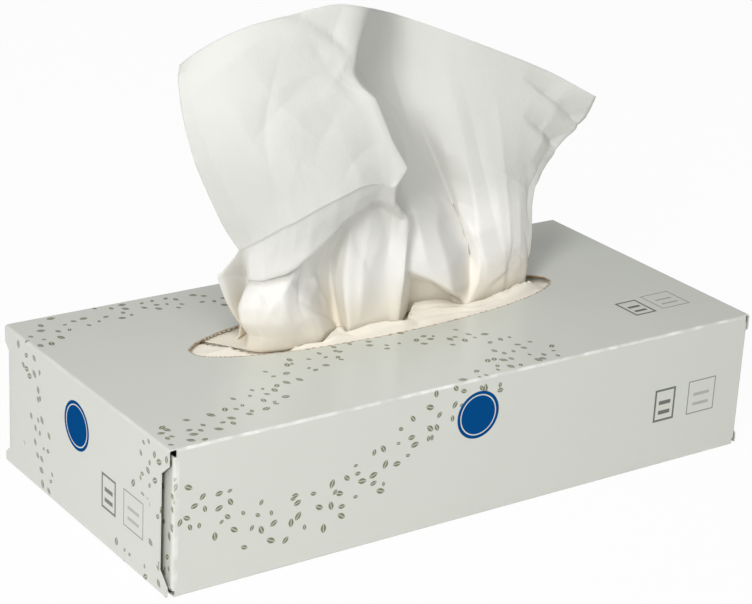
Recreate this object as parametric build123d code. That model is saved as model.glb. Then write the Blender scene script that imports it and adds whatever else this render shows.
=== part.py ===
# A carton of facial tissues with an oval mouth in the top and one tissue drawn halfway out.
# Millimetres. X runs along the carton, Y to its back, Z up; the origin is under its middle.

import os
from math import cos, radians, sin

from build123d import *

# Carton outside
box_length = 230.0
box_width = 110.0
box_height = 49.0

# Board and its folds
board = 0.5
crease_radius = 0.9
tuck_clearance = 0.3
glue_flap_height = 14.0

# End flaps: the outer one hangs from the top panel, the inner one stands up from the bottom panel
outer_flap_side_gap = 0.8
outer_flap_shoulder = 5.5
outer_flap_slope = 4.0
outer_flap_relief = 4.5
inner_flap_height = 34.0
inner_flap_side_gap = 7.0

# Dust flaps on the front and back panels, which spring inwards behind the end flaps
dust_flap_length = 42.0
dust_flap_taper = 12.0
dust_flap_spring = 8.0
dust_flap_edge_gap = 1.6

# Mouth in the top panel
mouth_length = 146.0
mouth_width = 34.0
mouth_setback = 5.5

# Stack of folded tissues
stack_end_gap = 12.5
stack_side_gap = 3.5
stack_edge_radius = 2.5
stack_headroom = 3.0

# Single sheets
sheet_thickness = 0.4
sheet_gap = 0.3
next_margin = 2.0
next_wave_height = 2.0
next_wave_width = 7.0
next_wave_setback = 3.5

# Fold lines of the drawn tissue, from its left edge to its right edge. The first pair of each places
# its foot in the mouth, in half lengths and half widths of the mouth. The points after it rise past
# the middle crease to the free edge, x and y from the middle of the mouth and z above the rim.
fold_lines = (
    (
        (-0.70, 0.20), (-53, 7, 10), (-55, 8, 17), (-56, 8, 22),
        (-55, 0, 32), (-77, -5, 67), (-79, 1, 91), (-76, 5, 95),
    ),
    (
        (-0.70, -0.18), (-58, -6, 16), (-50, 1, 21), (-54, -3, 27),
        (-55, -3, 34), (-74, -8, 69), (-77, -2, 93), (-74, 2, 99),
    ),
    (
        (-0.55, -0.41), (-49, -16, 21), (-40, -4, 26), (-46, -13, 31),
        (-46, -12, 43), (-62, -15, 72), (-64, -9, 96), (-59, -4, 107),
    ),
    (
        (-0.27, -0.18), (-19, 0, 14), (-17, 1, 27), (-28, -13, 37),
        (-30, -17, 51), (-42, -18, 72), (-42, -11, 97), (-36, -8, 111),
    ),
    (
        (-0.15, -0.41), (-16, -7, 16), (-19, -8, 32), (-20, -11, 39),
        (-21, -18, 54), (-30, -19, 72), (-33, -12, 97), (-27, -9, 111),
    ),
    (
        (-0.03, -0.53), (-3, -8, 15), (-3, -7, 31), (-4, -8, 39),
        (-13, -17, 53), (-18, -18, 70), (-28, -13, 96), (-21, -9, 111),
    ),
    (
        (0.04, -0.59), (1, -13, 16), (0, -14, 31), (-1, -13, 37),
        (-6, -15, 49), (-9, -16, 67), (-23, -12, 95), (-16, -8, 109),
    ),
    (
        (0.23, 0.0), (7, -8, 14), (6, -8, 27), (6, -7, 34),
        (3, -7, 45), (2, -4, 62), (-8, 5, 89), (-4, 6, 105),
    ),
    (
        (0.42, 0.06), (23, -9, 12), (16, -7, 25), (13, -5, 32),
        (11, -2, 41), (10, 2, 58), (2, 13, 86), (3, 13, 102),
    ),
    (
        (0.48, -0.24), (34, 0, 6), (29, 4, 19), (26, 5, 27),
        (22, 6, 36), (19, 9, 53), (11, 18, 83), (11, 19, 100),
    ),
    (
        (0.62, -0.29), (42, -6, 9), (41, -5, 19), (40, -4, 25),
        (37, -3, 32), (35, 1, 49), (28, 8, 80), (24, 10, 94),
    ),
    (
        (0.82, 0.12), (60, 1, 8), (59, 0, 15), (58, 0, 20),
        (57, 0, 27), (55, 0, 45), (51, 1, 73), (49, 2, 84),
    ),
    (
        (0.89, 0.35), (67, 6, 7), (68, 7, 13), (68, 7, 17),
        (69, 7, 23), (71, 4, 41), (83, -3, 60), (84, -5, 67),
    ),
)
# Spacing of the points along a fold line, from the foot to the free edge
fold_line_stages = (0, 3, 16, 28, 38, 50, 80, 107, 122)
facets_up = 32

# Derived places
half_length = box_length / 2
half_width = box_width / 2
fold_middle = crease_radius - board / 2
side_fold = half_length - 2.5 * board - tuck_clearance
panel_end = side_fold - crease_radius
stack_top = box_height - board - stack_headroom

# Girth of the carton: glue flap, bottom and half the front, then the rest of the front, top and back
lower_line = FilletPolyline(
    (half_width - 1.5 * board, glue_flap_height),
    (half_width - 1.5 * board, board / 2),
    (-half_width + board / 2, board / 2),
    (-half_width + board / 2, box_height / 2),
    radius=fold_middle,
)
upper_line = FilletPolyline(
    (-half_width + board / 2, box_height / 2),
    (-half_width + board / 2, box_height - board / 2),
    (half_width - board / 2, box_height - board / 2),
    (half_width - board / 2, crease_radius / 2),
    radius=fold_middle,
)
carton = extrude(Plane.YZ * trace(lower_line, board), panel_end, both=True)
carton += extrude(Plane.YZ * trace(upper_line, board), panel_end, both=True)

# Outer end flap, cut back along both sides between two shoulders
outer_line = FilletPolyline(
    (panel_end - board, box_height - board / 2),
    (half_length - board / 2, box_height - board / 2),
    (half_length - board / 2, crease_radius / 2),
    radius=fold_middle,
)
outer_strip = extrude(Plane.XZ * trace(outer_line, board), half_width, both=True)
flap_side = half_width - outer_flap_side_gap
flap_waist = flap_side - outer_flap_relief
flap_edge = (
    (flap_side, box_height + board),
    (flap_side, box_height - outer_flap_shoulder),
    (flap_waist, box_height - outer_flap_shoulder - outer_flap_slope),
    (flap_waist, outer_flap_shoulder + outer_flap_slope / 2),
    (flap_side, outer_flap_shoulder - outer_flap_slope / 2),
    (flap_side, -board),
)
flap_corners = list(flap_edge) + [(-side, level) for side, level in reversed(flap_edge)]
flap_outline = extrude(Plane.YZ * make_face(Polyline(*flap_corners, close=True)), box_length)
outer_flap = outer_strip & flap_outline

# Inner end flap, glued to the back of the outer one
inner_line = FilletPolyline(
    (panel_end - board, board / 2),
    (half_length - 1.5 * board, board / 2),
    (half_length - 1.5 * board, inner_flap_height),
    radius=fold_middle,
)
inner_flap = extrude(Plane.XZ * trace(inner_line, board), half_width - inner_flap_side_gap, both=True)

# Dust flap at the right front corner, sprung past square and narrower towards its free end
spring = radians(dust_flap_spring)
dust_tip_x = side_fold - dust_flap_length * sin(spring)
dust_tip_y = -half_width + board / 2 + dust_flap_length * cos(spring)
dust_line = FilletPolyline(
    (panel_end - board, -half_width + board / 2),
    (side_fold, -half_width + board / 2),
    (dust_tip_x, dust_tip_y),
    radius=fold_middle,
)
dust_strip = extrude(trace(dust_line, board), box_height)
dust_low = crease_radius + dust_flap_edge_gap
dust_high = box_height - dust_low
dust_root = -half_width + 2 * crease_radius
dust_corners = (
    (-half_width - board, dust_low),
    (dust_root, dust_low),
    (dust_tip_y + board, dust_low + dust_flap_taper),
    (dust_tip_y + board, dust_high - dust_flap_taper),
    (dust_root, dust_high),
    (-half_width - board, dust_high),
)
dust_outline = extrude(Plane.YZ * make_face(Polyline(*dust_corners, close=True)), box_length)
dust_flap = dust_strip & dust_outline

# Both ends
right_end = outer_flap + inner_flap + dust_flap + mirror(dust_flap, Plane.XZ)
carton += right_end
carton += mirror(right_end, Plane.YZ)

# Mouth
mouth_outline = Pos(0, mouth_setback, box_height) * Ellipse(mouth_length / 2, mouth_width / 2)
carton -= extrude(mouth_outline, 2 * board, both=True)

# Stack of folded tissues on the bottom panel, rounded along the folds
stack_length = box_length - 2 * stack_end_gap
stack_width = box_width - 2 * stack_side_gap
stack_height = stack_top - board
stack_section = RectangleRounded(stack_width, stack_height, stack_edge_radius)
stack_plane = Plane.YZ * Pos(0, board + stack_height / 2)
tissue_stack = extrude(stack_plane * stack_section, stack_length / 2, both=True)

# Next tissue, flat on the stack, with a low wave along the front of the mouth
next_half_length = stack_length / 2 - next_margin
next_half_width = stack_width / 2 - stack_edge_radius - next_margin
wave_middle = mouth_setback - mouth_width / 2 + next_wave_setback
next_level = stack_top + sheet_thickness / 2
next_line = FilletPolyline(
    (-next_half_width, next_level),
    (wave_middle - next_wave_width / 2, next_level),
    (wave_middle, next_level + next_wave_height),
    (wave_middle + next_wave_width / 2, next_level),
    (next_half_width, next_level),
    radius=next_wave_width / 4,
)
next_tissue = extrude(Plane.YZ * trace(next_line, sheet_thickness), next_half_length, both=True)

# Drawn tissue: strips ruled from each fold line to the next, standing on the next tissue in the mouth
foot_level = stack_top + sheet_thickness + sheet_gap
sheet_lines = []
for foot, *rise in fold_lines:
    foot_x = foot[0] * mouth_length / 2
    foot_y = foot[1] * mouth_width / 2 + mouth_setback
    points = [(foot_x, foot_y, foot_level), (foot_x, foot_y, box_height + board)]
    points += [(x, y + mouth_setback, z + box_height) for x, y, z in rise]
    sheet_lines.append(Wire(Edge.make_spline(points, parameters=fold_line_stages)))
strips = Shell.make_loft(sheet_lines, ruled=True).faces()

# The strips are laid out in small flat facets, front and back, and closed round the edge of the sheet
last_line = len(strips)
steps_up = range(facets_up + 1)
front = [[strip.position_at(j / facets_up, 0) for j in steps_up] for strip in strips]
front.append([strips[-1].position_at(j / facets_up, 1) for j in steps_up])
back = []
for i in range(last_line + 1):
    back_line = []
    for j in steps_up:
        across = front[min(i + 1, last_line)][j] - front[max(i - 1, 0)][j]
        upward = front[i][min(j + 1, facets_up)] - front[i][max(j - 1, 0)]
        back_line.append(front[i][j] + upward.cross(across).normalized() * sheet_thickness)
    back.append(back_line)
outlines = []
for i in range(last_line):
    for j in range(facets_up):
        for side in (front, back):
            outlines.append((side[i][j], side[i + 1][j], side[i + 1][j + 1]))
            outlines.append((side[i][j], side[i + 1][j + 1], side[i][j + 1]))
    for j in (0, facets_up):
        outlines.append((front[i][j], front[i + 1][j], back[i + 1][j]))
        outlines.append((front[i][j], back[i + 1][j], back[i][j]))
for j in range(facets_up):
    for i in (0, last_line):
        outlines.append((front[i][j], front[i][j + 1], back[i][j + 1]))
        outlines.append((front[i][j], back[i][j + 1], back[i][j]))
facets = [Face(Wire.make_polygon(outline, close=True)) for outline in outlines]
drawn_tissue = Solid(Shell(facets))

os.makedirs("parts", exist_ok=True)
export_step(carton, "parts/carton.step")
export_step(tissue_stack, "parts/tissue_stack.step")
export_step(next_tissue, "parts/next_tissue.step")
export_step(drawn_tissue, "parts/drawn_tissue.step")
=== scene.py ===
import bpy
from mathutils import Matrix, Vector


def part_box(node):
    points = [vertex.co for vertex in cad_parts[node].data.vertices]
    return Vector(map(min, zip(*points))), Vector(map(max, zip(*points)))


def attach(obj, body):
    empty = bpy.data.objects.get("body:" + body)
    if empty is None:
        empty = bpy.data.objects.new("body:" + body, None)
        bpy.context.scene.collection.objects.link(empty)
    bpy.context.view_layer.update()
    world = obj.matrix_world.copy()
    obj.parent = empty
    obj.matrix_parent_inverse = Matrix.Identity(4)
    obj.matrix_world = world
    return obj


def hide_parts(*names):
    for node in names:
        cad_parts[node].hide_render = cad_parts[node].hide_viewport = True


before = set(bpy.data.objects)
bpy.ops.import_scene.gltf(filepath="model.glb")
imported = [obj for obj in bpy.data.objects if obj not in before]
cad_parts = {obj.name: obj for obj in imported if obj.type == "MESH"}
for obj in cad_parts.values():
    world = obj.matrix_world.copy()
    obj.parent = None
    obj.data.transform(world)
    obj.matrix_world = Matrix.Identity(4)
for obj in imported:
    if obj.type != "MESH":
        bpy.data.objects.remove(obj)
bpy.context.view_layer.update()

import math
import bpy
import numpy as np
from mathutils import Matrix, Vector

mm = 0.001
scene = bpy.context.scene
scene.view_settings.view_transform = "Standard"
print("frame loaded", sorted(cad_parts))

# sizes of the carton, as packed, in metres
cartonLow, cartonHigh = (Vector(corner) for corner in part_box("carton"))
rimHeight = cartonHigh.z
mouth = dict(middleY=0.0055, halfLength=0.073, halfWidth=0.017)


# Shader sockets

class Sock:
    def __init__(self, tree, socket):
        self.tree = tree
        self.socket = socket

    def node(self, kind, settings=None, **inputs):
        made = self.tree.nodes.new(kind)
        for name, value in (settings or {}).items():
            setattr(made, name, value)
        for name, value in inputs.items():
            byPlace = name[0] == "i" and name[1:].isdigit()  # i0, i1 and so on
            target = made.inputs[int(name[1:]) if byPlace else name.replace("_", " ")]
            if isinstance(value, Sock):
                self.tree.links.new(value.socket, target)
            else:
                target.default_value = value
        return made

    def out(self, made, name=0):
        return Sock(self.tree, made.outputs[name])

    def math(self, operation, *values):
        inputs = {"i%d" % place: value for place, value in enumerate(values)}
        return self.out(self.node("ShaderNodeMath", dict(operation=operation), **inputs))

    def __add__(self, other):
        return self.math("ADD", self, other)

    def __radd__(self, other):
        return self.math("ADD", other, self)

    def __sub__(self, other):
        return self.math("SUBTRACT", self, other)

    def __rsub__(self, other):
        return self.math("SUBTRACT", other, self)

    def __mul__(self, other):
        return self.math("MULTIPLY", self, other)

    def __rmul__(self, other):
        return self.math("MULTIPLY", other, self)

    def __truediv__(self, other):
        return self.math("DIVIDE", self, other)

    def __rtruediv__(self, other):
        return self.math("DIVIDE", other, self)

    def __abs__(self):
        return self.math("ABSOLUTE", self)

    def __lt__(self, other):
        return self.math("LESS_THAN", self, other)

    def __gt__(self, other):
        return self.math("GREATER_THAN", self, other)

    def __pow__(self, other):
        return self.math("POWER", self, other)

    def sin(self):
        return self.math("SINE", self)

    def sqrt(self):
        return self.math("SQRT", self)

    def low(self, other):
        return self.math("MINIMUM", self, other)

    def high(self, other):
        return self.math("MAXIMUM", self, other)

    def clamp(self):
        return self.out(self.node("ShaderNodeClamp", None, Value=self))

    def step(self, start, end):  # smooth 0 to 1 from start to end
        made = self.node("ShaderNodeMapRange", dict(interpolation_type="SMOOTHSTEP"), Value=self)
        made.inputs["From Min"].default_value = start
        made.inputs["From Max"].default_value = end
        return self.out(made)

    def mixColour(self, under, over):  # this socket is the factor
        made = self.node("ShaderNodeMix", dict(data_type="RGBA"))
        self.tree.links.new(self.socket, made.inputs[0])
        for value, target in ((under, made.inputs[6]), (over, made.inputs[7])):
            if isinstance(value, Sock):
                self.tree.links.new(value.socket, target)
            else:
                target.default_value = value
        return self.out(made, 2)


def linear(r, g, b):  # colour as read off a screen, 0 to 255
    def one(v):
        v /= 255
        return v / 12.92 if v <= 0.04045 else ((v + 0.055) / 1.055) ** 2.4
    return (one(r), one(g), one(b), 1.0)


def newMaterial(name):
    material = bpy.data.materials.new(name)
    material.use_nodes = True
    tree = material.node_tree
    shader = next(n for n in tree.nodes if n.type == "BSDF_PRINCIPLED")
    start = Sock(tree, None)
    coords = start.node("ShaderNodeTexCoord")
    return material, tree, shader, start, coords


def splitPlace(start, coords, output="Object"):
    parts = start.node("ShaderNodeSeparateXYZ", None, Vector=start.out(coords, output))
    return [start.out(parts, axis) for axis in "XYZ"]


def noise(start, vector, scale, detail=3.0, roughness=0.5, output="Fac"):
    made = start.node("ShaderNodeTexNoise", None, Vector=vector, Scale=scale, Detail=detail,
                      Roughness=roughness)
    return start.out(made, output)


def link(tree, sock, socket):
    tree.links.new(sock.socket, socket)


def mixShaders(tree, start, share, under, over):  # to the material's output
    mixed = start.node("ShaderNodeMixShader", None, i0=share)
    tree.links.new(under.outputs[0], mixed.inputs[1])
    tree.links.new(over.outputs[0], mixed.inputs[2])
    output = next(n for n in tree.nodes if n.type == "OUTPUT_MATERIAL")
    tree.links.new(mixed.outputs[0], output.inputs["Surface"])


def dressNode(name, material):
    node = bpy.data.objects[name]
    node.data.materials.clear()
    node.data.materials.append(material)


def dropAll():
    if bpy.context.mode != "OBJECT":
        bpy.ops.object.mode_set(mode="OBJECT")
    bpy.ops.object.select_all(action="DESELECT")


def takeUp(obj):
    dropAll()
    obj.select_set(True)
    bpy.context.view_layer.objects.active = obj


# Camera

camera = dict(
    azimuth=-35.51, elevation=21.53, roll=3.05, distance=0.752, target=(-0.0052, 0.0, 0.0562),
    lens=107.76, sensor=36.0, picture=(752, 604),
)


def placeCamera():
    turn, rise, roll = (math.radians(camera[key]) for key in ("azimuth", "elevation", "roll"))
    back = Vector((math.sin(turn) * math.cos(rise), -math.cos(turn) * math.cos(rise), math.sin(rise)))
    right = Vector((math.cos(turn), math.sin(turn), 0))
    up = back.cross(right)
    across = right * math.cos(roll) + up * math.sin(roll)
    upward = -right * math.sin(roll) + up * math.cos(roll)
    place = Vector(camera["target"]) + back * camera["distance"]
    bpy.ops.object.camera_add()
    eye = bpy.context.object
    eye.name = "photoCamera"
    eye.matrix_world = Matrix.Translation(place) @ Matrix((across, upward, back)).transposed().to_4x4()
    eye.data.lens = camera["lens"]
    eye.data.sensor_width = camera["sensor"]
    scene.camera = eye
    camera.update(place=place, across=across, upward=upward, back=back)


placeCamera()
print("camera placed")


# Floor and light

studio = dict(
    floorSize=6.0, floorColour=linear(238, 238, 238), floorRoughness=0.9, floorGlow=0.95, worldStrength=0.345,
    lamps=(  # name, place, target, size in metres and power in watts
        ("keyLamp", (-0.96, -0.73, 0.62), (0.0, 0.0, 0.07), 0.26, 7.25),
        ("nearLamp", (-0.33, -0.30, 0.72), (0.0, 0.0, 0.06), 0.25, 1.7),
        ("frontLamp", (-0.35, -1.26, 0.45), (0.0, 0.0, 0.05), 0.9, 1.9),
        ("topLamp", (-0.25, 0.15, 0.90), (0.0, 0.0, 0.05), 0.6, 0.6),
    ),
)


def makeStudio():
    dropAll()
    bpy.ops.mesh.primitive_plane_add(size=studio["floorSize"], location=(0, 0, 0))
    floor = bpy.context.object
    floor.name = "studioFloor"
    material, tree, shader, start, coords = newMaterial("paleFloor")
    shader.inputs["Base Color"].default_value = studio["floorColour"]
    shader.inputs["Roughness"].default_value = studio["floorRoughness"]
    path = start.node("ShaderNodeLightPath")
    seen = start.out(path, "Is Camera Ray")
    for ray in ("Is Glossy Ray", "Is Transmission Ray"):
        seen = seen.high(start.out(path, ray))
    glow = start.node("ShaderNodeEmission", None, Color=(1, 1, 1, 1), Strength=1.0)
    mixShaders(tree, start, seen * studio["floorGlow"], shader, glow)
    floor.data.materials.append(material)
    for name, place, target, size, power in studio["lamps"]:
        bpy.ops.object.light_add(type="AREA", location=place)
        lamp = bpy.context.object
        lamp.name = name
        lamp.data.size = size
        lamp.data.energy = power
        lamp.rotation_euler = (Vector(target) - Vector(place)).to_track_quat("-Z", "Y").to_euler()
    world = bpy.data.worlds.new("studioWorld")
    scene.world = world
    world.use_nodes = True
    background = next(n for n in world.node_tree.nodes if n.type == "BACKGROUND")
    background.inputs["Color"].default_value = (1, 1, 1, 1)
    background.inputs["Strength"].default_value = studio["worldStrength"]


makeStudio()
print("studio lit")


# Carton finish

cartonLook = dict(
    board=linear(213, 215, 207), boardShade=linear(207, 210, 200), core=linear(150, 120, 84),
    olive=linear(104, 107, 70), blue=linear(8, 74, 134), mark=linear(46, 48, 42),
    foldWhite=linear(246, 247, 243),
    roughness=0.24, roughnessGrain=0.02, rawRoughness=0.5, shine=0.45, coat=0.25, coatRoughness=0.12,
    facing=0.7,  # a face belongs to a panel when its normal points that way by more than this
    motifCell=0.0050, motifSpread=0.85, motifShare=2.3, leafLeast=0.0009, leafSpread=0.0009, leafLens=0.55,
    fadeFrom=0.025, fadeTo=0.068, fadeSway=0.03,
    bands=(  # height, wave, wave length, phase and half width of each band of leaves
        (-0.066, 0.020, 0.21, 0.6, 0.011), (-0.030, 0.017, 0.17, 2.4, 0.009),
        (0.036, 0.012, 0.19, 4.0, 0.009),
    ),
    discRadius=0.0083, frontDisc=(-0.002, 0.0363), leftDisc=(0.0035, 0.0333),
    frontMarks=((0.0785, 0.0228), (0.0952, 0.0228)),  # middles of the page and of the square
    leftMarks=((-0.0178, 0.0188), (-0.0335, 0.0190)),
    topMarks=((0.0830, -0.0310), (0.0972, -0.0300)),
    pageHalf=(0.0042, 0.0056), pageBars=(0.0026, 0.0036), pageLine=0.0005,
    squareHalf=(0.0060, 0.0060), squareBars=(0.0036, 0.0036), squareLine=0.00028,
    frontClear=(0.0874, 0.0228), leftClear=(-0.0262, 0.0189), clearHalf=(0.017, 0.009),
    cutDepth=0.0007, cutShare=0.012, tornReach=(0.00055, 0.00025), uprightInset=0.0025,
    paleFront=(0.0010, 0.0005, 1.0), paleLeft=(0.0009, 0.0005, 0.2), paleUpright=(0.0010, 0.0005, 0.5),
    grainBump=0.03, dentBump=0.8, bumpDepth=0.0004,
    dents=((0.0408, 0.0119, 0.0013, 1.0), (0.0320, 0.0120, 0.0011, 0.5)),  # left end: place, reach and depth
)


def discShare(px, py, middle, radius):  # 1 at the rim of a disc
    dx, dy = px - middle[0], py - middle[1]
    return (dx * dx + dy * dy).sqrt() / radius


def boxEdge(px, py, middle, half, line):
    ex = abs(px - middle[0]) - half[0]
    ey = abs(py - middle[1]) - half[1]
    return abs(ex.high(ey)).step(line, line * 0.6)


def bars(px, py, middle, half, line):  # two bars
    inside = (abs(px - middle[0]) < half[0]) * (abs(py - middle[1]) < half[1])
    wave = ((py - middle[1]) * (math.pi * 2 / half[1])).sin()
    return inside * (wave > line)


def markPair(px, py, gate, places):  # a page outline and a framed square, both with bars
    look = cartonLook
    pageAt, squareAt = places
    page = boxEdge(px, py, pageAt, look["pageHalf"], look["pageLine"])
    page = page.high(bars(px, py, pageAt, look["pageBars"], 0.3))
    square = boxEdge(px, py, squareAt, look["squareHalf"], look["squareLine"])
    square = square.high(bars(px, py, squareAt, look["squareBars"], 0.55) * 0.6)
    return gate * page.high(square * 0.75)


def clearOf(px, py, gate, middle):  # no leaf among the marks
    half = cartonLook["clearHalf"]
    return 1 - gate * (abs(px - middle[0]) < half[0]) * (abs(py - middle[1]) < half[1])


def leafPrint(start, across, along):  # leaves scattered along waving bands, on the blank laid flat
    look = cartonLook
    flat = start.out(start.node("ShaderNodeCombineXYZ", None, X=across, Y=along))
    cells = start.node("ShaderNodeTexVoronoi", dict(voronoi_dimensions="2D", feature="F1"), Vector=flat,
                       Scale=1 / look["motifCell"], Randomness=look["motifSpread"])
    centre = start.node("ShaderNodeSeparateXYZ", None, Vector=start.out(cells, "Position"))
    cx, cy = start.out(centre, "X"), start.out(centre, "Y")
    chance = start.node("ShaderNodeSeparateColor", None, Color=start.out(cells, "Color"))
    luckA, luckB, luckC = (start.out(chance, place) for place in range(3))
    density = None
    for height, wave, length, phase, width in look["bands"]:
        middle = height + wave * (cx * (math.tau / length) + phase).sin()
        share = 1 - (abs(cy - middle) / width).clamp()
        density = density.high(share) if density is not None else share
    fade = (cx + noise(start, flat, 30.0) * look["fadeSway"]).step(look["fadeTo"], look["fadeFrom"])
    kept = luckA < density * fade * look["motifShare"]
    turn = luckB * math.tau
    dx, dy = across - cx, along - cy
    alongLeaf = dx * turn.math("COSINE", turn) + dy * turn.sin()
    acrossLeaf = dy * turn.math("COSINE", turn) - dx * turn.sin()
    size = look["leafLeast"] + luckC * look["leafSpread"]
    lens = abs(acrossLeaf) + alongLeaf * alongLeaf / size * look["leafLens"]
    leaf = (lens / size).step(0.62, 0.5)
    vein = (abs(acrossLeaf) / size).step(0.06, 0.13)
    return kept * leaf * (0.35 + vein * 0.65)


def paleFolds(x, y, z, grain):  # paler along the folds, in patches
    look = cartonLook
    fromTop = (z - rimHeight) ** 2
    fromFront = (y - cartonLow.y) ** 2
    paleFold = None
    for place, key in (
        (fromFront + fromTop, "paleFront"),
        ((x - cartonLow.x) ** 2 + fromTop, "paleLeft"),
        (fromFront + (x - cartonLow.x - look["uprightInset"]) ** 2, "paleUpright"),
    ):
        outer, inner, amount = look[key]
        share = place.sqrt().step(outer, inner) * amount
        paleFold = paleFold.high(share) if paleFold is not None else share
    return (paleFold * grain.step(0.35, 0.75) * 1.1).clamp()


def finishCarton():
    look = cartonLook
    material, tree, shader, start, coords = newMaterial("coatedBoard")
    object3d = start.out(coords, "Object")
    x, y, z = splitPlace(start, coords)
    nx, ny, nz = splitPlace(start, coords, "Normal")
    onTop = nz > look["facing"]
    onFront = ny < -look["facing"]
    onLeft = nx < -look["facing"]
    drop = rimHeight - z
    printed = leafPrint(start, x - onLeft * drop, y - onFront * drop) * onTop.high(onFront).high(onLeft)
    printed = printed * clearOf(y, z, onLeft, look["leftClear"]) * clearOf(x, z, onFront, look["frontClear"])

    # blue disc with a pale ring, and the small marks
    onFrontDisc = discShare(x, z, look["frontDisc"], look["discRadius"]) + (1 - onFront) * 9
    onLeftDisc = discShare(y, z, look["leftDisc"], look["discRadius"]) + (1 - onLeft) * 9
    onDisc = onFrontDisc.low(onLeftDisc)
    blueMask = onDisc.step(1.0, 0.985)
    ringMask = onDisc.step(0.80, 0.815) * onDisc.step(0.865, 0.85)
    marks = markPair(x, z, onFront, look["frontMarks"])
    marks = marks.high(markPair(y, z, onLeft, look["leftMarks"]))
    marks = marks.high(markPair(x, y, onTop, look["topMarks"]))

    # raw board where it is cut and torn
    aside = y - mouth["middleY"]
    ovalX, ovalY = x / mouth["halfLength"], aside / mouth["halfWidth"]
    oval = (ovalX * ovalX + ovalY * ovalY).sqrt()
    cutMouth = (abs(oval - 1) < look["cutShare"]) * (abs(nz) < 0.5) * (z > rimHeight - look["cutDepth"])
    steep = ((x / mouth["halfLength"] ** 2) ** 2 + (aside / mouth["halfWidth"] ** 2) ** 2).sqrt()
    fromRim = (oval - 1) * oval / steep
    dashes = noise(start, object3d, 520.0, 1.0).step(0.44, 0.56)
    torn = fromRim.step(*look["tornReach"]) * (z > rimHeight - 0.0001) * (0.35 + dashes * 0.65)
    paleFold = paleFolds(x, y, z, noise(start, object3d, 160.0, 4.0))

    board = (noise(start, object3d, 14.0, 2.0) * 0.25).mixColour(look["board"], look["boardShade"])
    colour = (printed * 0.92).mixColour(board, look["olive"])
    colour = (marks * 0.85).mixColour(colour, look["mark"])
    colour = blueMask.mixColour(colour, look["blue"])
    colour = ringMask.mixColour(colour, look["board"])
    colour = paleFold.mixColour(colour, look["foldWhite"])
    colour = cutMouth.mixColour(colour, look["core"])
    colour = (torn * 0.75).mixColour(colour, look["core"])
    link(tree, colour, shader.inputs["Base Color"])
    rough = look["roughness"] + noise(start, object3d, 60.0) * look["roughnessGrain"]
    link(tree, rough + cutMouth * look["rawRoughness"], shader.inputs["Roughness"])
    shader.inputs["Specular IOR Level"].default_value = look["shine"]
    shader.inputs["Coat Weight"].default_value = look["coat"]
    shader.inputs["Coat Roughness"].default_value = look["coatRoughness"]
    grain = start.node("ShaderNodeBump", None, Strength=look["grainBump"], Distance=look["bumpDepth"],
                       Height=noise(start, object3d, 900.0, 2.0) * 0.05)
    pressed = sum(discShare(y, z, dent[:2], dent[2]).step(1.0, 0.2) * dent[3] for dent in look["dents"])
    dented = start.node("ShaderNodeBump", dict(invert=True), Strength=look["dentBump"],
                        Distance=look["bumpDepth"], Height=pressed * onLeft, Normal=start.out(grain))
    tree.links.new(dented.outputs[0], shader.inputs["Normal"])
    matt = start.node("ShaderNodeBsdfDiffuse", None, Color=look["blue"])  # the disc's ink has no gloss
    mixShaders(tree, start, blueMask * (1 - ringMask), shader, matt)
    dressNode("carton", material)
    return material


cartonMaterial = finishCarton()
print("carton finished")


# Tissue paper

paperLook = dict(
    # white is painted light: the gathered paper is painted brighter
    single=linear(236, 236, 232), singleShade=linear(229, 230, 226), paintedBright=linear(251, 250, 246),
    # warm and laid are painted warm bounce light, the cream the paper takes near the mouth
    paintedWarm=linear(255, 246, 228), laid=linear(243, 235, 219), glow=linear(250, 249, 244),
    roughness=0.95, shine=0.2, sheen=0.15, bump=0.5, bumpDepth=0.0004,
    paintedWarmTop=0.022, paintedWarmShare=0.8,  # heights above the rim; the warm tint is painted bounce light
    gatheredFrom=0.046, gatheredTo=0.026, through=0.29, gatheredThrough=0.12,
)


def makePaper(name, laid):  # paper laid on paper lets no light through
    look = paperLook
    material, tree, shader, start, coords = newMaterial(name)
    x, y, z = splitPlace(start, coords)
    object3d = start.out(coords, "Object")
    tone = noise(start, object3d, 70.0, 4.0, 0.6)
    deep = z.step(rimHeight + look["paintedWarmTop"], rimHeight)  # painted warm bounce light: the paper is painted warmer towards the mouth
    single = (tone * 0.5).mixColour(look["single"], look["singleShade"])
    gathered = z.step(rimHeight + look["gatheredFrom"], rimHeight + look["gatheredTo"])  # the lower, gathered paper: painted whiter there as painted light, and less translucent
    # painted brightening of the gathered paper
    paper = gathered.mixColour(single, look["paintedBright"])
    # painted warm bounce light, mixed in towards the mouth
    paper = (deep * look["paintedWarmShare"]).mixColour(paper, look["laid"] if laid else look["paintedWarm"])
    link(tree, paper, shader.inputs["Base Color"])
    shader.inputs["Roughness"].default_value = look["roughness"]
    shader.inputs["Specular IOR Level"].default_value = look["shine"]
    shader.inputs["Sheen Weight"].default_value = look["sheen"]
    fibres = noise(start, object3d, 700.0, 4.0, 0.65)
    crepe = noise(start, object3d, 160.0, 3.0)
    bump = start.node("ShaderNodeBump", None, Strength=look["bump"], Distance=look["bumpDepth"],
                      Height=fibres * 0.6 + crepe)
    tree.links.new(bump.outputs[0], shader.inputs["Normal"])
    if not laid:
        light = start.node("ShaderNodeBsdfTranslucent", None, Color=look["glow"])
        mixShaders(tree, start, look["through"] - gathered * look["gatheredThrough"], shader, light)
    return material


paperMaterial = makePaper("tissuePaper", False)
laidMaterial = makePaper("laidTissuePaper", True)
dressNode("tissue_stack", laidMaterial)
print("paper ready")


# Drawn tissue

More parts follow.
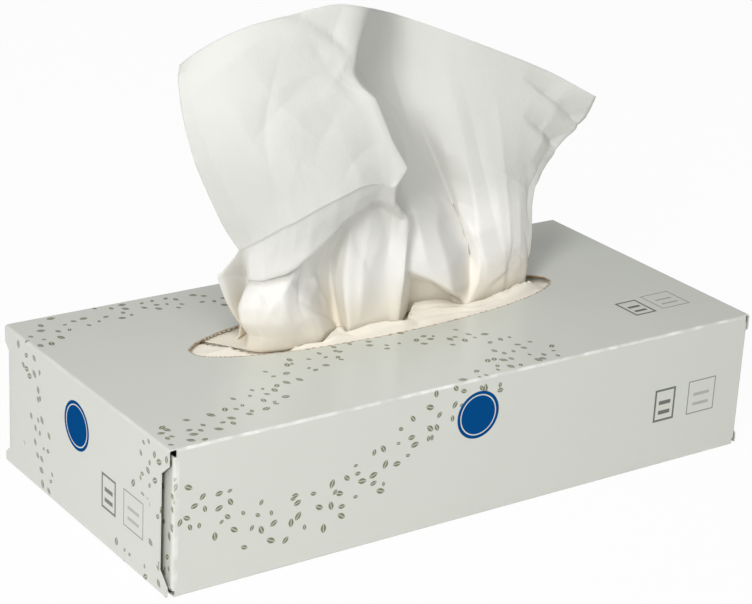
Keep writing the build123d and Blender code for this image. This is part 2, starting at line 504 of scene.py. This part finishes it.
# Fold lines from the left edge of the sheet to its right edge, each from the free edge down to the mouth.
# Each place is where the camera sees it, in pixels across and down, and its depth behind the middle of the
# mouth in millimetres
foldLines = dict(
    leftEdge=(
        (180, 65, 5), (178, 82, 1), (183, 120, -3), (195, 165, -5),
        (222, 225, -5), (240, 251, -4), (223, 271, 4), (217, 276, 4),
        (221, 287, 4), (226, 300, 4), (233, 314, 4), (240, 324, 4),
    ),
    flapFold=(
        (184, 61, 4), (182, 80, 0), (188, 119, -4), (199, 162, -6),
        (226, 222, -6), (242, 250, -5), (246, 268, 9), (250, 276, 12),
        (251, 288, 12), (251, 300, 12), (250, 313, 10), (250, 326, 8),
    ),
    bulgeSide=(
        (194, 53, 2), (192, 77, -2), (198, 117, -6), (208, 158, -8),
        (234, 217, -8), (248, 247, -7), (247, 280, -4), (250, 278, -1),
        (241, 294, -3), (236, 309, -4), (238, 322, -5), (247, 334, -5),
    ),
    bulgeFront=(
        (212, 42, -1), (210, 73, -6), (215, 114, -10), (226, 153, -12),
        (250, 208, -12), (262, 240, -12), (262, 281, -9), (264, 278, -6),
        (257, 293, -9), (253, 309, -10), (256, 324, -10), (263, 337, -9),
    ),
    bulgeMiddle=(
        (245, 26, -4), (240, 68, -9), (243, 110, -13), (252, 147, -16),
        (277, 198, -17), (288, 226, -18), (287, 274, -13), (288, 270, -8),
        (284, 288, -12), (284, 305, -13), (287, 322, -13), (291, 337, -11),
    ),
    pocketSide=(
        (285, 16, -6), (274, 66, -11), (275, 107, -15), (284, 142, -19),
        (305, 187, -21), (315, 212, -22), (305, 261, -18), (308, 256, -9),
        (302, 280, -6), (307, 299, -10), (317, 317, -11), (322, 333, -11),
    ),
    pocket=(
        (315, 9, -8), (302, 67, -11), (305, 105, -16), (314, 140, -20),
        (334, 178, -23), (340, 199, -24), (331, 239, -20), (335, 234, -6),
        (331, 259, 0), (330, 279, 1), (334, 302, 0), (338, 328, -4),
    ),
    pillarEdge=(
        (336, 4, -9), (325, 71, -12), (334, 103, -17), (346, 138, -22),
        (360, 169, -24), (364, 187, -24), (352, 219, -21), (354, 214, -12),
        (348, 256, -10), (345, 280, -10), (346, 302, -11), (349, 329, -10),
    ),
    pillarMiddle=(
        (352, 4, -9), (337, 74, -13), (356, 101, -17), (374, 138, -20),
        (382, 170, -22), (385, 184, -22), (376, 198, -19), (377, 204, -12),
        (372, 246, -11), (369, 272, -11), (367, 297, -11), (364, 321, -10),
    ),
    flapLeft=(
        (361, 6, -9), (343, 75, -13), (366, 99, -18), (386, 140, -21),
        (391, 173, -22), (391, 188, -22), (390, 202, -18), (393, 214, -11),
        (391, 234, -10), (388, 254, -10), (385, 274, -10), (388, 310, -10),
    ),
    turnedEdge=(
        (369, 8, -8), (350, 77, -14), (376, 99, -19), (393, 143, -22),
        (411, 168, -24), (396, 186, -23), (394, 204, -18), (406, 217, -15),
        (407, 233, -15), (406, 256, -15), (404, 281, -14), (401, 303, -12),
    ),
    behindEdge=(
        (376, 9, 4), (361, 72, 7), (372, 99, 4), (391, 143, -3),
        (397, 172, -4), (394, 188, -6), (392, 204, -7), (402, 220, -8),
        (404, 240, -9), (404, 257, -10), (406, 270, -10), (411, 280, -2),
    ),
    archEdge=(
        (384, 11, 11), (376, 66, 15), (389, 104, 12), (404, 146, 5),
        (409, 172, 2), (412, 191, -2), (416, 210, -8), (420, 231, -11),
        (424, 248, -12), (427, 263, -13), (430, 280, -13), (433, 284, -3),
    ),
    archRight=(
        (393, 13, 15), (389, 64, 18), (402, 106, 15), (417, 148, 9),
        (426, 174, 6), (433, 196, 2), (440, 213, -4), (438, 229, -9),
        (443, 247, -11), (448, 267, -13), (453, 292, -14), (455, 297, -3),
    ),
    valley=(
        (402, 16, 17), (405, 66, 17), (415, 110, 13), (431, 150, 13),
        (441, 175, 12), (450, 198, 11), (457, 214, 9), (463, 229, 5),
        (468, 244, 1), (470, 262, -2), (469, 283, -6), (466, 307, -8),
    ),
    valleyWall=(
        (418, 21, 15), (424, 70, 14), (433, 114, 10), (445, 152, 7),
        (454, 180, 7), (461, 202, 5), (466, 218, 2), (472, 232, -3),
        (477, 247, -5), (480, 264, -7), (478, 283, -8), (469, 304, -8),
    ),
    ridge=(
        (440, 29, 10), (447, 75, 8), (459, 119, 4), (467, 158, 2),
        (472, 187, 0), (475, 208, -2), (477, 223, -4), (479, 237, -6),
        (483, 250, -7), (488, 266, -8), (489, 281, -8), (473, 302, -8),
    ),
    rightPanel=(
        (470, 40, 5), (477, 82, 4), (485, 125, 2), (491, 164, -1),
        (497, 192, -3), (500, 211, -5), (502, 226, -6), (504, 239, -7),
        (506, 251, -8), (507, 262, -8), (507, 273, -8), (505, 279, -7),
    ),
    rightFold=(
        (510, 55, 2), (514, 91, 1), (517, 130, 0), (518, 166, -1),
        (519, 192, -2), (520, 211, -4), (520, 226, -5), (521, 239, -6),
        (521, 250, -6), (521, 259, -6), (520, 268, -5), (520, 272, -4),
    ),
    rightWing=(
        (548, 70, 0), (549, 99, -2), (545, 135, 0), (535, 164, 1),
        (528, 188, 0), (527, 209, -2), (527, 225, -3), (527, 238, -4),
        (527, 249, -4), (526, 257, -4), (525, 265, -3), (525, 269, -3),
    ),
    rightEdge=(
        (596, 97, -6), (587, 119, -2), (567, 138, 0), (548, 162, 3),
        (534, 184, 2), (532, 206, 0), (532, 222, -1), (532, 236, -2),
        (531, 248, -2), (530, 256, -2), (528, 263, -2), (527, 268, -2),
    ),
)

drawnSheet = dict(
    flat=(210.0, 200.0), pitch=0.85, fewest=5, thickness=0.2,
    acrossAt=(0, 2.5, 6, 14, 25, 37.5, 49.5, 60.5, 70, 75, 80,
              100, 116.5, 128.5, 138, 145, 154.5, 167, 183, 196, 210),
    downAt=(0, 14, 28, 42, 57, 65, 78, 88, 97, 104, 111, 120),
    softAt=(1.0, 1.0, 0.9, 0.8, 0.5, 0.0, 0.0, 0.0, 0.0, 0.0, 0.0, 0.0),  # row by row: smoothed out
    roundAt=(0.0, 0.0, 0.0, 0.0, 0.0, 0.0, 0.0, 0.1, 0.35, 0.35, 0.35, 0.2),  # rounded, left of the pillar
    limbSoftAt=(1.0, 0.6, 0.1, 0.1, 0.1, 0.0, 0.0, 0.0, 0.0, 0.0, 0.0, 0.0),
    valleySoftAt=(0.9, 0.55, 0.2, 0.0, 0.0, 0.0, 0.0, 0.0, 0.0, 0.0, 0.0, 0.0),
    zonesAt=(0, 68, 74, 106, 114, 158, 166, 210), roundEnd=58.0, roundFade=6.0, crispPasses=2, softPasses=84,
    edgeAt=(0, 10, 188, 204), edgeSoft=(0.7, 1, 1, 0.25),  # the side edges stay kinked
    hem=dict(at=65.0, end=70.0, step=0.5, stop=70.0, fade=5.0, rise=0.3, extra=(-0.5, 0.3, 0.6)),
    creaseEnds=0.3,
    creases=(  # across and down at both ends, height, reach before and after the line, all in millimetres
        (30, -2, 80, 11, 2.8, 1.3, 14), (66, 26, 44, 52, 1.0, 9, 9), (18, 18, 32, 60, -0.8, 9, 9),
        (76, 40, 50, 62, 0.9, 7, 7), (160, 2, 166, 112, 0.7, 5, 5), (175, 6, 172, 114, -0.7, 4.5, 4.5),
        (149, 8, 158, 84, -0.6, 5, 5), (187, 7, 214, 22, 2.8, 1.2, 7), (186, 22, 212, 37, 2.6, 1.2, 7),
        (204, -4, 192, 44, -1.0, 4.5, 4.5), (52, 84, 40, 118, 0.6, 4, 4), (64, 86, 68, 119, -0.6, 3, 3),
        (22, 92, 46, 112, -0.4, 5, 5), (10, 90, 34, 122, 1.0, 1.0, 7), (34, 82, 16, 112, -0.9, 1.2, 6),
        (30, 102, 56, 124, 1.2, 0.9, 6),
    ),
    seed=11,
    crumples=dict(count=60, height=0.75, share=(0.3, 1.0), across=(0, 210), down=(0, 105),
                  length=(25, 70), reach=(3.0, 9.0)),
    gathers=dict(count=14, height=0.9, share=(0.4, 1.0), across=(20, 96), lean=9,
                 top=(66, 88), foot=(104, 124), steep=(0.7, 1.3), flat=(3.0, 7.0)),
    tailLevels=(-1.3, -2.0, -2.6),  # the hidden half lies to and fro under the top panel
    tailBack=41.0, tailFront=17.0, tailHalf=98.0, tailInset=0.9,
)


def seenAt(places):  # from picture places and depths to millimetres about the middle of the mouth
    width, height = camera["picture"]
    focal = camera["lens"] / camera["sensor"] * width
    across, upward, back, eye = (np.array(camera[key]) for key in ("across", "upward", "back", "place"))
    sideways = (places[..., :1] - width / 2) / focal
    rise = (height / 2 - places[..., 1:2]) / focal
    ray = sideways * across + rise * upward - back
    reach = (places[..., 2:] * mm + mouth["middleY"] - eye[1]) / ray[..., 1:2]
    return (eye + ray * reach - np.array((0, mouth["middleY"], rimHeight))) / mm


def evenSteps(stops, pitch, fewest):  # samples that meet every stop
    parts = []
    for start, end in zip(stops, stops[1:]):
        parts.append(np.linspace(start, end, max(fewest, round((end - start) / pitch)), endpoint=False))
    return np.concatenate(parts + [[stops[-1]]])


def straightThrough(knots, values, samples):  # straight from knot to knot
    knots = np.asarray(knots, float)
    place = np.clip(np.searchsorted(knots, samples, side="right") - 1, 0, len(knots) - 2)
    share = (samples - knots[place]) / (knots[place + 1] - knots[place])
    share = share.reshape((-1,) + (1,) * (values.ndim - 1))
    return values[place] * (1 - share) + values[place + 1] * share


def foldThrough(knots, values, samples):  # curved from knot to knot, level at each fold
    knots = np.asarray(knots, float)
    width = np.diff(knots).reshape((-1,) + (1,) * (values.ndim - 1))
    rise = np.diff(values, axis=0) / width
    before, after = rise[:-1], rise[1:]
    sameWay = before * after > 0
    early, late = 2 * width[1:] + width[:-1], width[1:] + 2 * width[:-1]
    blend = early / np.where(sameWay, before, 1.0) + late / np.where(sameWay, after, 1.0)
    slope = np.concatenate([rise[:1], np.where(sameWay, (early + late) / blend, 0.0), rise[-1:]])
    place = np.clip(np.searchsorted(knots, samples, side="right") - 1, 0, len(knots) - 2)
    span = width[place]
    t = (samples - knots[place]).reshape((-1,) + (1,) * (values.ndim - 1)) / span
    curve = (2 * t**3 - 3 * t**2 + 1) * values[place] + (t**3 - 2 * t**2 + t) * slope[place] * span
    return curve + (3 * t**2 - 2 * t**3) * values[place + 1] + (t**3 - t**2) * slope[place + 1] * span


def spread(through, piece, lines, across, down):  # the fold lines drawn out to a grid
    shape = through(piece["acrossAt"], lines, across)
    return through(piece["downAt"], shape.swapaxes(0, 1), down).swapaxes(0, 1)


def rounded(shape, passes):  # each pass rounds the folds a little, and the edges stay where they are
    shape = shape.copy()
    for number in range(passes):
        shape[1:-1] = (shape[:-2] + 2 * shape[1:-1] + shape[2:]) / 4
        shape[:, 1:-1] = (shape[:, :-2] + 2 * shape[:, 1:-1] + shape[:, 2:]) / 4
    return shape


def blendFolds(piece, lines, across, down):  # crisp, smoothed out or rounded, from place to place
    def rowShare(name):
        return np.interp(down, piece["downAt"], piece[name])

    crisp = spread(straightThrough, piece, lines, across, down)
    curved = spread(foldThrough, piece, lines, across, down)
    onLimb = np.interp(across, piece["zonesAt"], (0, 0, 1, 1, 0, 0, 0, 0))[:, None]
    onValley = np.interp(across, piece["zonesAt"], (0, 0, 0, 0, 1, 1, 0, 0))[:, None]
    soft = rowShare("softAt") * (1 - onLimb - onValley)
    soft = soft + rowShare("limbSoftAt") * onLimb + rowShare("valleySoftAt") * onValley
    soft = (soft * np.interp(across, piece["edgeAt"], piece["edgeSoft"])[:, None])[..., None]
    leftOf = np.clip((piece["roundEnd"] - across) / piece["roundFade"], 0, 1)[:, None]
    curl = (leftOf * rowShare("roundAt"))[..., None]
    shape = crisp * (1 - curl) + curved * curl
    return rounded(shape, piece["crispPasses"]) * (1 - soft) + rounded(crisp, piece["softPasses"]) * soft


def creaseField(across, down, crease):  # a sharp crease along one line of the sheet, its sides nearly flat
    u0, v0, u1, v1, height, before, after = crease
    length = math.hypot(u1 - u0, v1 - v0)
    along = ((across - u0) * (u1 - u0) + (down - v0) * (v1 - v0)) / length**2
    aside = ((across - u0) * (v1 - v0) - (down - v0) * (u1 - u0)) / length
    ends = drawnSheet["creaseEnds"]
    fade = np.clip(along / ends, 0, 1) * np.clip((1 - along) / ends, 0, 1)
    return height * fade * np.exp(-np.abs(aside) / np.where(aside < 0, before, after))


def sheetRelief(across, down, piece):  # the small creases
    u, v = np.meshgrid(across, down, indexing="ij")
    relief = sum(creaseField(u, v, crease) for crease in piece["creases"])
    chance = np.random.default_rng(piece["seed"])
    crumple, gather, hem = piece["crumples"], piece["gathers"], piece["hem"]
    for number in range(crumple["count"]):
        startU, startV = chance.uniform(*crumple["across"]), chance.uniform(*crumple["down"])
        turn = chance.uniform(0, math.pi)
        length, reach = chance.uniform(*crumple["length"]), chance.uniform(*crumple["reach"])
        height = chance.uniform(*crumple["share"]) * crumple["height"] * chance.choice((-1, 1))
        end = startU + length * math.cos(turn), startV + length * math.sin(turn)
        relief = relief + creaseField(u, v, (startU, startV, *end, height, reach, reach))
    for number in range(gather["count"]):
        startU, endU = chance.uniform(*gather["across"]) + np.array((0, chance.normal(0, gather["lean"])))
        startV, endV = chance.uniform(*gather["top"]), chance.uniform(*gather["foot"])
        height = chance.uniform(*gather["share"]) * gather["height"] * chance.choice((-1, 1))
        steep, flat = chance.uniform(*gather["steep"]), chance.uniform(*gather["flat"])
        relief = relief + creaseField(u, v, (startU, startV, endU, endV, height, steep, flat))
    below = np.clip((v - hem["at"]) / hem["rise"], 0, 1)
    below = below * np.clip((hem["end"] - v) / (hem["end"] - hem["at"]), 0, 1)
    return relief + hem["step"] * below * np.clip((hem["stop"] - u) / hem["fade"], 0, 1)


def sculptSheet(piece):
    lines = seenAt(np.array(list(foldLines.values()), float))
    across = evenSteps(piece["acrossAt"], piece["pitch"], piece["fewest"])
    down = evenSteps(piece["downAt"], piece["pitch"], piece["fewest"])
    down = np.union1d(down, piece["hem"]["at"] + np.array(piece["hem"]["extra"]))
    shape = blendFolds(piece, lines, across, down)
    normal = np.cross(np.gradient(shape, axis=0), np.gradient(shape, axis=1))
    normal /= np.linalg.norm(normal, axis=2, keepdims=True)
    shape = shape + normal * sheetRelief(across, down, piece)[..., None]
    upper, middle, lower = piece["tailLevels"]
    back, front = piece["tailBack"], piece["tailFront"]
    tailX = piece["tailHalf"] * (2 * across / across[-1] - 1)
    footX, footY = shape[:, -1, 0], shape[:, -1, 1]
    outward = np.hypot(footX / (mouth["halfLength"] / mm), footY / (mouth["halfWidth"] / mm))
    inset = np.minimum(1, piece["tailInset"] / outward)
    footX, footY = footX * inset, footY * inset
    turns = [  # down through the mouth, then to the back, to the front and to the back again
        (footX, footY + 0.6, 0.2), (footX, footY + 1.2, upper * 0.7), (footX, footY + 3.0, upper),
        (footX * 0.7 + tailX * 0.3, footY * 0.6 + back * 0.4, upper), (tailX, back, upper),
        (tailX, back, middle), (tailX, front, middle), (tailX, front, lower), (tailX, back, lower),
    ]
    tail = [np.stack([np.broadcast_to(part, across.shape) for part in turn], axis=1) for turn in turns]
    grid = np.concatenate([shape, np.stack(tail, axis=1)], axis=1)
    grid[..., 1] += mouth["middleY"] / mm
    grid[..., 2] += rimHeight / mm
    return grid


def gridMesh(name, grid):
    columns, rows = grid.shape[:2]
    dropAll()
    bpy.ops.mesh.primitive_grid_add(x_subdivisions=columns - 1, y_subdivisions=rows - 1, size=1)
    obj = bpy.context.object
    obj.name = name
    raw = np.zeros(columns * rows * 3)
    obj.data.vertices.foreach_get("co", raw)
    raw = raw.reshape(-1, 3)
    i = np.rint((raw[:, 0] + 0.5) * (columns - 1)).astype(int)
    j = np.rint((0.5 - raw[:, 1]) * (rows - 1)).astype(int)
    obj.data.vertices.foreach_set("co", grid[i, j].ravel() * mm)
    obj.data.update()
    return obj


def finishSheet(obj, piece, material, node):
    takeUp(obj)
    bpy.ops.object.shade_smooth()
    bpy.ops.object.modifier_add(type="SOLIDIFY")
    obj.modifiers[-1].thickness = piece["thickness"] * mm
    obj.modifiers[-1].offset = 0
    bpy.ops.object.modifier_apply(modifier=obj.modifiers[-1].name)
    obj.data.materials.clear()
    obj.data.materials.append(material)
    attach(obj, "root")
    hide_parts(node)


def makeDrawn():
    grid = sculptSheet(drawnSheet)
    obj = gridMesh("drawnTissue", grid)
    finishSheet(obj, drawnSheet, paperMaterial, "drawn_tissue")
    print("drawn tissue", len(obj.data.polygons), "faces")
    between = [grid[:, :-1] * (1 - share) + grid[:, 1:] * share for share in np.arange(0, 1, 0.2)]
    return np.concatenate(between, axis=1).reshape(-1, 3)  # the next tissue keeps clear of these


drawnPlaces = makeDrawn()


# Next tissue in the mouth

nextSheet = dict(
    flat=(210.0, 200.0), halfLength=100.0, halfWidth=47.0, thickness=0.2, pitch=1.25,
    fineFrom=-13.0, fineTo=24.0, finePitch=0.45, frontPitch=3.4, backPitch=3.3, underStep=6,
    upper=46.15, under=45.65, belowRim=0.72, leftGap=0.8, rightGap=1.3, tipsAt=(-66, -54, 64, 70),
    clear=0.4, drop=0.5, near=2.1, evened=3, headroom=1.2,  # how it keeps in front of the drawn tissue
    raisedTo=1.14, raisedFade=0.1, foldedTo=0.955, foldedFade=0.05,  # in shares of the mouth's oval
    ridge=0.5, ripple=0.35, layerStep=0.5, layerGroove=0.8, layersAt=(-54, -44, 56, 64),
    layers=((0.30, 0.10, 0.4), (0.68, 0.14, 2.0)),  # level, sway and phase
    wrinkles=dict(count=34, across=(-44, 40), aside=(-15, 0), lean=0.5, length=(8, 22),
                  reach=(0.8, 2.5), height=0.9),
    seed=5,
    footAt=(-80, -58, -54, -50, -40, -31, -24, -12, -3, 1, 8, 12, 21, 28, 31, 34, 44, 54, 63, 69, 80),
    footY=(14, 12, 4, -6, -12, -13, -9, -9, -9, -11, -6, -3, -3, -4, -8, -8, -6, -4, -1, 0, 4),
    riseAt=(-80, -66, -54, -44, -30, -20, -10, 0, 10, 22, 31, 40, 52, 59, 66, 80),
    riseTop=(0.0, 0.0, 0.8, 1.6, 2.0, 2.8, 3.6, 4.2, 3.4, 2.4, 0.9, 2.6, 4.8, 4.8, 0.6, 0.0),
)


def standsAt(x, height, piece):  # foremost place of the drawn tissue below a height, at one x
    low = (np.abs(drawnPlaces[:, 0] - x) < piece["near"]) & (drawnPlaces[:, 2] < height)
    return drawnPlaces[low, 1].min() if low.any() else piece["halfWidth"]


def frontLine(across, piece):  # the same all along the mouth, evened out
    crest = rimHeight / mm + np.interp(across, piece["riseAt"], piece["riseTop"]) + piece["headroom"]
    front = np.array([standsAt(place, top, piece) for place, top in zip(across, crest)])
    wide = np.pad(front, piece["evened"] // 2, mode="edge")
    return np.convolve(wide, np.full(piece["evened"], 1 / piece["evened"]), mode="valid")


def nextCreases(x, aside, ramp, span, piece):
    creases = piece["ridge"] * np.exp(-np.abs(ramp - 0.45 - 0.15 * np.sin(x / 9.0)) / 0.09)
    creases = creases + piece["ripple"] * np.exp(-np.abs(np.sin(x / 11.0 + aside / 9.0)) / 0.25) * ramp
    layered = np.interp(x, piece["layersAt"], (0, 1, 1, 0))
    for level, sway, phase in piece["layers"]:
        fromLine = (ramp - level - sway * np.sin(x / 12.0 + phase)) * span
        step = piece["layerStep"] * np.clip(fromLine / 0.5, 0, 1)
        creases = creases + layered * (step - piece["layerGroove"] * np.exp(-np.abs(fromLine) / 0.4))
    wrinkle = piece["wrinkles"]
    chance = np.random.default_rng(piece["seed"])
    for number in range(wrinkle["count"]):
        startX, startY = chance.uniform(*wrinkle["across"]), chance.uniform(*wrinkle["aside"])
        turn = chance.normal(0, wrinkle["lean"])
        endX = startX + chance.uniform(*wrinkle["length"]) * math.cos(turn)
        endY = startY + chance.uniform(*wrinkle["length"]) * math.sin(turn)
        reach = chance.uniform(*wrinkle["reach"])
        height = chance.uniform(-wrinkle["height"], wrinkle["height"])
        creases = creases + creaseField(x, aside, (startX, startY, endX, endY, height, reach, reach * 2))
    return creases


def makeNext():
    piece = nextSheet
    across = np.arange(-piece["halfLength"], piece["halfLength"] + 0.01, piece["pitch"])
    down = np.concatenate([
        np.arange(-piece["halfWidth"], piece["fineFrom"], piece["frontPitch"]),
        np.arange(piece["fineFrom"], piece["fineTo"], piece["finePitch"]),
        np.arange(piece["fineTo"], piece["halfWidth"] + 0.1, piece["backPitch"]),
    ])
    x, y = np.meshgrid(across, down, indexing="ij")
    aside = y - mouth["middleY"] / mm
    mouthX, mouthY = mouth["halfLength"] / mm, mouth["halfWidth"] / mm
    oval = np.sqrt((x / mouthX) ** 2 + (aside / mouthY) ** 2)
    raised = np.clip((piece["raisedTo"] - oval) / piece["raisedFade"], 0, 1)
    folded = np.clip((piece["foldedTo"] - oval) / piece["foldedFade"], 0, 1)  # flat at the board's edge
    foot = np.interp(x, piece["footAt"], piece["footY"])
    edge = -mouthY * np.sqrt(np.clip(1 - (x / mouthX) ** 2, 0.001, 1))
    span = np.maximum(foot - edge, 1.0)
    ramp = np.clip((aside - edge) / span, 0, 1.2)  # from the front edge of the mouth to the drawn tissue
    inFront = np.clip((foot + 1.5 - aside) / 2.5, 0, 1)
    room = frontLine(across, piece)[:, None] - piece["clear"] - y
    inFront = inFront * np.clip(room / piece["drop"], 0, 1)
    creases = nextCreases(x, aside, ramp, span, piece) * np.clip(ramp / 0.2, 0, 1)
    tipGap = np.interp(x, piece["tipsAt"], (piece["leftGap"], 0, 0, piece["rightGap"]))
    lift = rimHeight / mm - piece["belowRim"] - piece["upper"] - tipGap
    rise = lift + (np.interp(x, piece["riseAt"], piece["riseTop"]) * ramp + creases) * folded
    upper = np.stack([x, y, piece["upper"] + raised * inFront * rise], axis=2)
    under = np.stack([x, y, np.full_like(x, piece["under"])], axis=2)[:, ::-piece["underStep"]]
    obj = gridMesh("nextTissue", np.concatenate([upper, under], axis=1))
    finishSheet(obj, piece, laidMaterial, "next_tissue")


makeNext()
print("next tissue made")


# Torn perforation round the mouth

rimTeeth = dict(count=150, steps=4, deep=0.55, gap=0.08, seatIn=0.3, below=0.04, thickness=0.42, seed=7)


def makeRim():
    piece = rimTeeth
    dropAll()
    around = piece["count"] * piece["steps"]
    bpy.ops.mesh.primitive_circle_add(vertices=around, radius=1, fill_type="NOTHING")
    ring = bpy.context.object
    ring.name = "mouthPerforation"
    bpy.ops.object.mode_set(mode="EDIT")
    bpy.ops.mesh.select_all(action="SELECT")
    bpy.ops.mesh.extrude_edges_move()
    bpy.ops.transform.resize(value=(0.9, 0.9, 1))
    bpy.ops.object.mode_set(mode="OBJECT")
    chance = np.random.default_rng(piece["seed"])
    deep = chance.uniform(0.5, 1.0, piece["count"] + 1) * piece["deep"]
    halfLength, halfWidth = mouth["halfLength"] / mm, mouth["halfWidth"] / mm
    for vertex in ring.data.vertices:
        turn = math.atan2(vertex.co.y, vertex.co.x)
        place = round(turn % math.tau / math.tau * around) % around
        outward = Vector((math.cos(turn) / halfLength, math.sin(turn) / halfWidth, 0)).normalized()
        edge = Vector((math.cos(turn) * halfLength, math.sin(turn) * halfWidth, 0))
        if vertex.co.length > 0.95:
            edge += outward * piece["seatIn"]
        else:
            onTooth = place % piece["steps"] in (1, 2)
            edge -= outward * (deep[place // piece["steps"]] if onTooth else piece["gap"])
        vertex.co = Vector((edge.x, edge.y + mouth["middleY"] / mm, rimHeight / mm - piece["below"])) * mm
    takeUp(ring)
    bpy.ops.object.modifier_add(type="SOLIDIFY")
    ring.modifiers[-1].thickness = piece["thickness"] * mm
    ring.modifiers[-1].offset = -1
    bpy.ops.object.modifier_apply(modifier=ring.modifiers[-1].name)
    bpy.ops.object.mode_set(mode="EDIT")
    bpy.ops.mesh.select_all(action="SELECT")
    bpy.ops.mesh.normals_make_consistent(inside=False)
    bpy.ops.object.mode_set(mode="OBJECT")
    ring.data.materials.append(cartonMaterial)
    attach(ring, "root")


makeRim()
print("mouth rim made")
